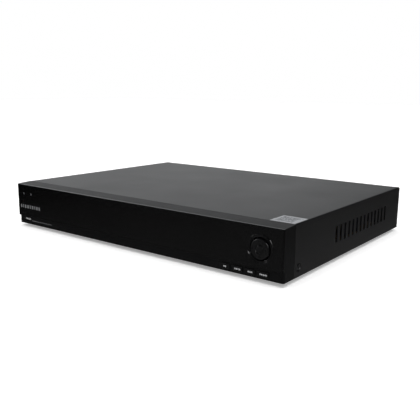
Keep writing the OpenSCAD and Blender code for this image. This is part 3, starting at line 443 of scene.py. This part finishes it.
class Shape:
    """A mesh in the making, in case millimetres."""

    def __init__(self):
        self.bm = bmesh.new()

    def ring(self, points):
        return [self.bm.verts.new(p) for p in points]

    def face(self, verts):
        if len(set(verts)) > 2:
            self.bm.faces.new(verts)

    def skin(self, a, b, closed=True):
        """Quads between two rings of the same count; a ring of one vertex makes a cone's tip."""
        n = max(len(a), len(b))
        for i in range(n if closed else n - 1):
            j = (i + 1) % n
            quad = [a[i % len(a)], a[j % len(a)], b[j % len(b)], b[i % len(b)]]
            self.face(list(dict.fromkeys(quad)))

    def skins(self, rings, closed=True):
        for a, b in zip(rings, rings[1:]):
            self.skin(a, b, closed)

    def fill(self, rings):
        """A flat face bounded by the first ring, with the others as holes in it."""
        flat = [[v.co.copy() for v in r] for r in rings]
        verts = [v for r in rings for v in r]
        for triangle in tessellate_polygon(flat):
            self.face([verts[i] for i in triangle])

    def wall(self, to_3d, levels):
        """Skins (level, points) rings and gives back the first and the last."""
        rings = [self.ring(to_3d(u, v, level) for u, v in points) for level, points in levels]
        self.skins(rings)
        return rings[0], rings[-1]

    def plate(self, to_3d, outside, holes=()):
        """A solid between a front and a back face. outside and each hole are (level, points) rings
        from the front face to the back one."""
        ends = [self.wall(to_3d, levels) for levels in (outside, *holes)]
        for rings in zip(*ends):
            self.fill(rings)

    def lathe(self, centre, profile, steps=72, axis=(0, 1, 0)):
        """Turns (radius, height) points about an axis through centre; radius 0 closes an end."""
        turn = Vector((0, 0, 1)).rotation_difference(Vector(axis))
        rings = []
        for r, h in profile:
            count = 1 if r < 1e-6 else steps
            turns = [2 * math.pi * k / steps for k in range(count)]
            rings.append(self.ring(
                Vector(centre) + turn @ Vector((r * math.cos(a), r * math.sin(a), h)) for a in turns))
        self.skins(rings)
        return rings

    def done(self, name, material, body="case", replaces=(), slot=None):
        """Makes the object, in metres in the row's frame, sets it on its body and hides the CAD nodes
        that it replaces.
        """
        bm = self.bm
        bmesh.ops.remove_doubles(bm, verts=bm.verts, dist=1e-4)
        bmesh.ops.recalc_face_normals(bm, faces=bm.faces)
        mesh = bpy.data.meshes.new(name)
        bm.to_mesh(mesh)
        bm.free()
        mesh.transform(Matrix.Translation(CASE_ORIGIN) @ Matrix.Scale(MM, 4))
        mesh.shade_smooth()
        mesh.set_sharp_from_angle(angle=math.radians(SHARP_ANGLE))
        piece = bpy.data.objects.new(name, mesh)
        bpy.context.scene.collection.objects.link(piece)
        mesh.materials.append(MATERIALS[material])
        weights = piece.modifiers.new("even_normals", "WEIGHTED_NORMAL")
        weights.keep_sharp = True
        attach(piece, body)
        if replaces:
            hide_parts(*replaces)
        return piece


SOFTENED_ANGLE = 50


def soft_edges(piece, width):
    """Rounds every sharp edge of a piece; width is in millimetres."""
    bevel = piece.modifiers.new("edges", "BEVEL")
    bevel.width = width * MM
    bevel.segments = 2
    bevel.limit_method = "ANGLE"
    bevel.angle_limit = math.radians(SOFTENED_ANGLE)


def solids(node):
    """The box of each separate solid of a CAD node, in case millimetres, from left to right."""
    bm = bmesh.new()
    bm.from_mesh(NODES[node].data)
    bmesh.ops.remove_doubles(bm, verts=bm.verts, dist=1e-6)
    left = set(bm.verts)
    boxes = []
    while left:
        stack, group = [left.pop()], []
        while stack:
            vert = stack.pop()
            group.append((vert.co - CASE_ORIGIN) / MM)
            for link in vert.link_edges:
                other = link.other_vert(vert)
                if other in left:
                    left.remove(other)
                    stack.append(other)
        low = Vector([min(p[k] for p in group) for k in range(3)])
        high = Vector([max(p[k] for p in group) for k in range(3)])
        boxes.append((low, high))
    bm.free()
    return sorted(boxes, key=lambda box: tuple(round(c, 2) for c in (box[0] + box[1]) / 2))


# ---------- the case ----------

SHEET = 1.0
COVER_BEND = 1.5
CUT_EDGE = 0.12
VENTS = {"count": 14, "pitch": 10, "y": 170, "z": 24.7, "w": 4.6, "h": 17, "r": 1.2}
DIMPLE = {"r": 4.1, "floor_r": 3.3, "depth": 1.3, "hole_r": 1.7}
REAR_LIP = {"half_w": 185, "low_z": 42.2, "bend": 1.2, "hole_r": 1.7}


def bend_points(centre, radius, start, end, steps=6):
    """Points along a bend of the sheet, in whichever plane the centre is given."""
    turns = [math.radians(start + (end - start) * s / steps) for s in range(steps + 1)]
    return [(centre[0] + radius * math.cos(a), centre[1] + radius * math.sin(a)) for a in turns]


def side_dimple(y, z):
    """The pressed seat of a side screw, as (depth, points) rings from the outer face to its hole and
    back out round the inner face."""
    outer = eased([(DIMPLE["r"] + 0.5, 0), (DIMPLE["r"], 0), (DIMPLE["floor_r"], DIMPLE["depth"]),
                   (DIMPLE["hole_r"], DIMPLE["depth"])], 0.35)
    back = DIMPLE["depth"] + SHEET
    inner = [(DIMPLE["hole_r"], back), (DIMPLE["r"], back), (DIMPLE["r"] + 0.5, SHEET)]
    return [(depth, circle(y, z, r)(0)) for r, depth in outer + inner]


def cover_side(shape, side, low, high, seat):
    """One pierced side: its outer and inner faces, the slots' walls and the screw's dimple."""
    face = side_at(side * high.x)
    flat_z = high.z - COVER_BEND
    outline = [(low.y, low.z), (high.y, low.z), (high.y, flat_z), (low.y, flat_z)]
    walls = [[(0, outline), (SHEET, outline)], side_dimple(*seat)]
    for i in range(VENTS["count"]):
        y = VENTS["y"] + (i - (VENTS["count"] - 1) / 2) * VENTS["pitch"]
        slot = rounded_rect(y, VENTS["z"], VENTS["w"], VENTS["h"], VENTS["r"], 4)
        walls.append(rim(slot, SHEET, CUT_EDGE, 2, hole=True))
    ends = []
    for number, levels in enumerate(walls):
        rings = [shape.ring(face(u, v, level) for u, v in points) for level, points in levels]
        if number:
            shape.skins(rings)
        ends.append((rings[0], rings[-1]))
    shape.fill([first for first, last in ends])
    shape.fill([last for first, last in ends])


def make_cover():
    """One bent sheet: two pierced sides, the top, and a lip that turns down over the rear panel."""
    low, high = case_box("top_cover")
    shape = Shape()
    flat_x, flat_z = high.x - COVER_BEND, high.z - COVER_BEND
    screws = solids("cover_screws")
    seat = [(screws[-1][0][k] + screws[-1][1][k]) / 2 for k in (1, 2)]
    lip_x, lip_low, lip_bend = REAR_LIP["half_w"], REAR_LIP["low_z"], REAR_LIP["bend"]
    lip_y, lip_z = high.y - lip_bend, high.z - lip_bend
    sections = []
    for depth in (0, SHEET):
        right = bend_points((flat_x, flat_z), COVER_BEND - depth, 0, 90)
        half = [(high.x - depth, low.z), *right]
        sections.append((half, [(-x, z) for x, z in half]))
        z = high.z - depth
        top = [(-flat_x, low.y), (flat_x, low.y), (flat_x, high.y), (lip_x, high.y), (lip_x, lip_y),
               (-lip_x, lip_y), (-lip_x, high.y), (-flat_x, high.y)]
        shape.fill([shape.ring((x, y, z) for x, y in top)])
        for sign in (-1, 1):
            rows = [shape.ring([(sign * x, low.y, v), (sign * x, high.y, v)]) for x, v in right]
            shape.skins(rows, closed=False)
        turn = bend_points((lip_y, lip_z), lip_bend - depth, 90, 0)
        shape.skins([shape.ring([(-lip_x, y, v), (lip_x, y, v)]) for y, v in turn], closed=False)
        back = high.y - depth
        rings = [shape.ring((x, back, v) for x, v in [(-lip_x, lip_z), (lip_x, lip_z), (lip_x, lip_low),
                                                      (-lip_x, lip_low)])]
        for box_low, box_high in screws[1:-1]:
            x, v = (box_low.x + box_high.x) / 2, (box_low.z + box_high.z) / 2
            rings.append(shape.ring((p, back, q) for p, q in circle(x, v, REAR_LIP["hole_r"], 24)(0)))
        shape.fill(rings)
    for side in (-1, 1):
        cover_side(shape, side, low, high, seat)
    outer, inner = [left + list(reversed(right)) for right, left in sections]
    shape.skin(*[shape.ring((x, low.y, z) for x, z in path) for path in (outer, inner)], closed=False)
    for side in (-1, 1):
        ends = [[(side * x, high.y, z) for x, z in right] + [(side * lip_x, high.y, high.z - depth)]
                for (right, left), depth in zip(sections, (0, SHEET))]
        shape.skin(*[shape.ring(path) for path in ends], closed=False)
        edges = [[(side * (high.x - depth), y, low.z) for y in (low.y, high.y)] for depth in (0, SHEET)]
        shape.skin(*[shape.ring(path) for path in edges], closed=False)
        edges = []
        for depth in (0, SHEET):
            turn = bend_points((lip_y, lip_z), lip_bend - depth, 90, 0)
            path = [(high.y, high.z - depth), *turn, (high.y - depth, lip_low)]
            edges.append([(side * lip_x, y, z) for y, z in path])
        shape.skin(*[shape.ring(path) for path in edges], closed=False)
    edges = [[(x, high.y - depth, lip_low) for x in (-lip_x, lip_x)] for depth in (0, SHEET)]
    shape.skin(*[shape.ring(path) for path in edges], closed=False)
    for box_low, box_high in screws[1:-1]:
        x, v = (box_low.x + box_high.x) / 2, (box_low.z + box_high.z) / 2
        hole = circle(x, v, REAR_LIP["hole_r"], 24)(0)
        shape.skin(*[shape.ring((p, high.y - depth, q) for p, q in hole) for depth in (0, SHEET)])
    return shape.done("cover_shell", "case_paint", replaces=["top_cover"])


def make_feet():
    for k, (low, high) in enumerate(solids("rubber_feet")):
        shape = Shape()
        r = (high.x - low.x) / 2
        ring_h = 0.6
        profile = eased([(0, ring_h), (r - 5, ring_h), (r - 4.4, 0), (r - 1.4, 0), (r - 0.8, ring_h),
                         (r, high.z - low.z), (0, high.z - low.z)], [0, 0.3, 0.25, 0.25, 0.3, 0.35, 0])
        centre = ((low.x + high.x) / 2, (low.y + high.y) / 2, low.z)
        shape.lathe(centre, profile, axis=(0, 0, 1))
        shape.done(f"foot_{k + 1}", "foot_rubber", replaces=["rubber_feet"] if k == 0 else ())


# ---------- the front ----------

BAND_R = 2.0
FASCIA_EDGE = 0.35
BARREL_HOLE_R = 12.05
LENS_FIT = 0.1


def rounded_set(depth, r):
    """How far an edge of radius r is set in at a depth behind the front."""
    return r - math.sqrt(max(r * r - (r - depth) ** 2, 0)) if depth < r else 0.0


def make_fascia():
    """The glossy plate: round upright corners, and holes for the pad, the lights and the window."""
    low, high = case_box("fascia")
    thick = high.y - low.y
    edge = FASCIA_EDGE
    levels = [edge * (1 - math.cos(math.radians(a))) for a in (0, 22.5, 45, 67.5, 90)]
    levels += [edge + (thick - edge) * k / 5 for k in range(1, 6)]
    outside = []
    for level in levels:
        x = high.x - rounded_set(level, BAND_R)
        z0, z1 = low.z + rounded_set(level, edge), high.z - rounded_set(level, edge)
        outside.append((level, [(-x, z0), (x, z0), (x, z1), (-x, z1)]))
    pad = middle("pad_trim_ring")
    holes = [rim(circle(pad.x, pad.z, BARREL_HOLE_R, 72), thick, 0.15, hole=True)]
    for lens_low, lens_high in [*solids("indicator_lenses"), case_box("infrared_window")]:
        centre = (lens_low + lens_high) / 2
        r = (lens_high.x - lens_low.x) / 2 + LENS_FIT
        holes.append(rim(circle(centre.x, centre.z, r, 32), thick, 0.12, 3, hole=True))
    shape = Shape()
    shape.plate(front_at(low.y), outside, holes)
    return shape.done("fascia_plate", "fascia_gloss", replaces=["fascia"])


RING_BORE_R = 10.5
RING_BARREL_R = 12.0
GROOVE_DEPTH = 0.5


def ring_profile():
    """The trim ring's section as (radius, depth): a shallow groove between two rounded lands."""
    low, high = case_box("pad_trim_ring")
    outer = (high.x - low.x) / 2
    bore, barrel, face = RING_BORE_R, RING_BARREL_R, low.y
    return eased([
        (bore, high.y), (bore, 0.3), (bore + 0.65, face + 0.14), (bore + 2.05, face + GROOVE_DEPTH),
        (outer - 1.0, face), (outer - 0.45, face), (outer, 0.02), (barrel, 0.02), (barrel, high.y),
        (bore, high.y),
    ], [0, 0.4, 0.35, 0.15, 0.15, 0.3, 0.02, 0.02, 0.02, 0], 4)


def make_pad_ring():
    pad = middle("pad_trim_ring")
    shape = Shape()
    shape.lathe((pad.x, 0, pad.z), ring_profile(), 96)
    return shape.done("pad_ring", "ring_gloss", replaces=["pad_trim_ring"])


ARROW_R = 7.2
ARROW_SIZE = 1.1
ARROW_DEPTH = 0.35
PAD_R = 9.8
PAD_BORE_R = 4.15
BORE_EDGE = 0.15
PAD_BACK = 9.2
PAD_HOLLOW_R = 6.5
PAD_PLATE = 3.5
PIVOT_Y = 7
NUB = {"circle_r": 8, "r": 1.2, "root": 9.1}
PIN = {"r": 0.9, "from": 9.5, "to": 12.5}


def arrow(pad, turn):
    """An arrowhead near the pad's rim that points outward, as a function of how far it is set in."""
    a = math.radians(turn)
    out, across = Vector((math.cos(a), math.sin(a))), Vector((-math.sin(a), math.cos(a)))

    def loop(inset):
        size = ARROW_SIZE - inset * 1.8
        tips = [out * size * 0.9, across * size - out * size * 0.55, -across * size - out * size * 0.55]
        return [(pad.x + p.x, pad.z + p.y) for p in (out * ARROW_R + tip for tip in tips)]
    return loop


def make_pad():
    """The four-way disc: a crowned rim, a bore for the middle button and four engraved arrows."""
    pad = middle("pad_trim_ring")
    low, high = case_box("nav_pad")
    front = low.y
    rim_r = PAD_R - 1.3
    shape = Shape()
    face = front_at(front)
    outer = shape.ring(face(u, v, 0) for u, v in circle(pad.x, pad.z, rim_r, 96)(0))
    bore = shape.ring(face(u, v, 0) for u, v in circle(pad.x, pad.z, PAD_BORE_R + BORE_EDGE, 96)(0))
    openings = [outer, bore]
    for turn in (0, 90, 180, 270):
        loop = arrow(pad, turn)
        first, last = shape.wall(face, [(0, loop(0)), (ARROW_DEPTH, loop(0.12))])
        openings.append(first)
        shape.fill([last])
    shape.fill(openings)
    plate_back = front + PAD_PLATE
    skirt = eased([
        (rim_r, front), (PAD_R - 0.5, front + 0.25), (PAD_R, front + 1.1), (PAD_R, PAD_BACK),
        (PAD_HOLLOW_R, PAD_BACK), (PAD_HOLLOW_R, plate_back), (PAD_BORE_R, plate_back),
        (PAD_BORE_R, front + BORE_EDGE), (PAD_BORE_R + BORE_EDGE, front),
    ], [0, 0.5, 0.5, 0.1, 0.1, 0.2, 0.1, 0.1, 0])
    shape.lathe((pad.x, 0, pad.z), skirt, 96)
    disc = shape.done("pad_disc", "pad_plastic", "nav_pad", ["nav_pad"])
    for k, turn in enumerate((0, 90, 180, 270)):
        nub = Shape()
        a = math.radians(turn)
        profile = [(0, NUB["root"]), (NUB["r"], NUB["root"]), (NUB["r"], high.y), (0, high.y)]
        nub.lathe((pad.x + NUB["circle_r"] * math.cos(a), 0, pad.z + NUB["circle_r"] * math.sin(a)),
                  eased(profile, [0, 0, 0.3, 0]), 20)
        nub.done(f"pad_nub_{k + 1}", "pad_plastic", "nav_pad")
    for side in (-1, 1):
        pin = Shape()
        profile = [(0, PIN["from"]), (PIN["r"], PIN["from"]), (PIN["r"], PIN["to"]), (0, PIN["to"])]
        pin.lathe((pad.x, PIVOT_Y, pad.z), eased(profile, [0, 0, 0.2, 0]), 24, axis=(side, 0, 0))
        pin.done(f"pad_pin_{'left' if side < 0 else 'right'}", "pad_plastic", "nav_pad")
    return disc


BUTTON = {"r": 3.9, "flange_y": 2.3, "flange_t": 1, "stem_r": 1.5}


def make_pad_button():
    """The middle button: a slightly dished cap with a rounded edge, a flange and a stem."""
    pad = middle("pad_trim_ring")
    low, high = case_box("ok_button")
    front, r, flange_r = low.y, BUTTON["r"], (high.x - low.x) / 2
    flange, back, stem_r = BUTTON["flange_y"], BUTTON["flange_y"] + BUTTON["flange_t"], BUTTON["stem_r"]
    profile = eased([
        (0, front + 0.22), (r - 1.4, front + 0.12), (r - 0.45, front), (r, front + 0.45), (r, flange),
        (flange_r, flange), (flange_r, back), (stem_r, back), (stem_r, high.y), (0, high.y),
    ], [0, 0.8, 0.35, 0.3, 0.05, 0.15, 0.15, 0.2, 0.2, 0])
    shape = Shape()
    shape.lathe((pad.x, 0, pad.z), profile, 64)
    return shape.done("pad_button", "pad_plastic", "ok_button", ["ok_button"])


KEY_CAP = {"w": 11.4, "h": 5.0, "r": 0.6, "z": 4.8, "edge": 0.4}
KEY_FLANGE = {"y": 4.4, "t": 1.0, "w": 13.0, "h": 6.2}
KEY_STEM_R = 1.4
LEGEND_MARKS = [(1.2, 1.4), (1.3, 1.5, 1.0, 1.4), (1.3, 1.5, 1.2), (1.2, 1.5, 1.1, 1.4, 0.8)]
LEGEND_H = 1.45
LEGEND_AT = (0.4, 4.5)
MARK_GAP = 0.45
MARK_LIFT = 0.03
MARK_SINK = 0.02


def mark_row(shape, to_3d, x, z, widths, height, gap):
    """A row of plain printed marks centred on x; they stand for lettering and spell nothing."""
    at = x - (sum(widths) + gap * (len(widths) - 1)) / 2
    for w in widths:
        loop = rounded_rect(at + w / 2, z, w, height, min(w, height) * 0.2, 3)
        shape.plate(to_3d, [(-MARK_LIFT, loop(0)), (MARK_SINK, loop(0))])
        at += w + gap
    return shape


def make_keys():
    """Four caps in the lower strip, each with a flange behind, a stem and its printed marks."""
    for k, widths in enumerate(LEGEND_MARKS):
        node = f"key_{k + 1}"
        low, high = case_box(node)
        x = (low.x + high.x) / 2
        cap = rounded_rect(x, KEY_CAP["z"], KEY_CAP["w"], KEY_CAP["h"], KEY_CAP["r"])
        flange = rounded_rect(x, KEY_CAP["z"] + 0.1, KEY_FLANGE["w"], KEY_FLANGE["h"], 0.4)
        depth, back = KEY_FLANGE["y"] - low.y, KEY_FLANGE["y"] + KEY_FLANGE["t"] - low.y
        edge = KEY_CAP["edge"]
        levels = [(edge * (1 - math.cos(math.radians(a))), cap(edge * (1 - math.sin(math.radians(a)))))
                  for a in (0, 22.5, 45, 67.5, 90)]
        levels += [(depth, cap(0)), (depth, flange(0)), (back, flange(0))]
        shape = Shape()
        shape.plate(front_at(low.y), levels)
        root = low.y + back - 0.1
        stem = eased([(0, root), (KEY_STEM_R, root), (KEY_STEM_R, high.y), (0, high.y)], [0, 0, 0.3, 0])
        shape.lathe((x, 0, KEY_CAP["z"] + 0.1), stem, 24)
        shape.done(f"key_cap_{k + 1}", "key_plastic", node, [node])
        marks = mark_row(Shape(), front_at(low.y), x + LEGEND_AT[0], LEGEND_AT[1], widths, LEGEND_H,
                         MARK_GAP)
        marks.done(f"key_marks_{k + 1}", "legend_white", node, slot="key_plastic")


LENS_DOME = 0.3


def make_lights():
    """The two indicator lenses and the dark window: domed faces on straight light pipes."""
    for k, (low, high) in enumerate(solids("indicator_lenses")):
        r = (high.x - low.x) / 2
        turns = [math.radians(a) for a in (20, 40, 60, 75, 90)]
        dome = [(r * math.sin(a), low.y + LENS_DOME * (1 - math.cos(a))) for a in turns]
        profile = [(0, low.y), *dome, (r, high.y), (0, high.y)]
        shape = Shape()
        shape.lathe(((low.x + high.x) / 2, 0, (low.z + high.z) / 2), profile, 32)
        shape.done(f"indicator_lens_{k + 1}", "lens_clear",
                   replaces=["indicator_lenses"] if k == 0 else ())
    low, high = case_box("infrared_window")
    r = (high.x - low.x) / 2
    profile = eased([(0, low.y), (r, low.y), (r, high.y), (0, high.y)], [0, 0.25, 0.1, 0])
    shape = Shape()
    shape.lathe(((low.x + high.x) / 2, 0, (low.z + high.z) / 2), profile, 32)
    shape.done("infrared_lens", "infrared_tint", replaces=["infrared_window"])


CAPTION = {"x": -165.5, "z": 22.1, "h": 4.2, "gap": 1.9}
CAPTION_WIDTHS = (2.6, 1.6, 2.8, 3.2, 2.2, 3.0, 1.8, 2.8, 2.6)
FINE_PRINT = {"x": -147, "z": 4.7, "h": 0.85, "w": 38, "gap": 0.7, "mark_w": (0.9, 3.2)}


def make_front_print():
    """Plain marks where the front carries its printing: one bold row and one fine row."""
    face = case_box("fascia")[0].y
    row = mark_row(Shape(), front_at(face), CAPTION["x"], CAPTION["z"], CAPTION_WIDTHS, CAPTION["h"],
                   CAPTION["gap"])
    row.done("fascia_print", "print_grey", slot="fascia_gloss")
    widths = []
    while sum(widths) + FINE_PRINT["gap"] * len(widths) < FINE_PRINT["w"]:
        widths.append(random.uniform(*FINE_PRINT["mark_w"]))
    strip_y = case_box("front_bezel")[0].y
    fine = mark_row(Shape(), front_at(strip_y), FINE_PRINT["x"], FINE_PRINT["z"], widths,
                    FINE_PRINT["h"], FINE_PRINT["gap"])
    fine.done("strip_print", "print_grey", slot="bezel_plastic")


LABEL_R = 0.8
LABEL_MARGIN = 3.0
LABEL_ROWS = 9
LABEL_THICK_SHARE = 0.8


def make_label():
    """A thin label with a soft edge, and rows of short dark marks inside a plain border."""
    low, high = case_box("top_label")
    thick = (high.z - low.z) * LABEL_THICK_SHARE
    cx, cy, size = (low.x + high.x) / 2, (low.y + high.y) / 2, high.x - low.x
    paper = Shape()
    loop = rounded_rect(cx, cy, size, size, LABEL_R)
    paper.plate(top_at(low.z + thick), rim(loop, thick, 0.05, 2))
    paper.done("label", "label_paper", replaces=["top_label"])
    ink = Shape()
    pitch = (size - 2 * LABEL_MARGIN) / LABEL_ROWS
    for k in range(LABEL_ROWS):
        y = cy + (k - (LABEL_ROWS - 1) / 2) * pitch
        at = cx - size / 2 + LABEL_MARGIN
        end = cx + size / 2 - LABEL_MARGIN - random.uniform(0, 3)
        while at < end:
            w = min(random.uniform(0.8, 3.4), end - at + 0.4)
            h = pitch * random.uniform(0.35, 0.62)
            mark = rounded_rect(at + w / 2, y, w, h, 0.15, 2)
            ink.plate(top_at(low.z + thick), [(-0.02, mark(0)), (0.01, mark(0))])
            at += w + random.uniform(0.3, 1.1)
    ink.done("label_print", "label_ink", slot="label_paper")


# ---------- carried-over CAD nodes ----------

SOFTER_EDGES = {"front_bezel": 0.3, "switch_rocker": 0.35, "ac_inlet": 0.3, "switch_housing": 0.25,
                "connector_housings": 0.3}
PLAIN_EDGE = 0.12
UNSOFTENED = {"fan_frame"}
# Darker copies of a slot's steel for parts set in recesses: painted shade in place of the light that the
# recess keeps off.
SHADE_PAINTED_LOOKS = {"front_usb_shell": "shaded_steel", "cover_screws": "shade_darkened_screw"}


def dress_cad_nodes():
    """Gives every CAD node its slot's material (a few get a darker copy of it as painted shade), soft
    edges and even shading.
    """
    for row in frame["record"]["subparts"]:
        node, slot = row["node"], row["material_slot"]
        piece = NODES[node]
        piece.data.materials.clear()
        piece.data.materials.append(MATERIALS[SHADE_PAINTED_LOOKS.get(node, slot)])
        if node not in UNSOFTENED:
            soft_edges(piece, SOFTER_EDGES.get(node, PLAIN_EDGE))
        weights = piece.modifiers.new("even_normals", "WEIGHTED_NORMAL")
        weights.keep_sharp = True


MATERIALS = make_materials()
make_camera()
make_stage()
dress_cad_nodes()
make_cover()
make_feet()
make_fascia()
make_pad_ring()
make_pad()
make_pad_button()
make_keys()
make_lights()
make_front_print()
make_label()
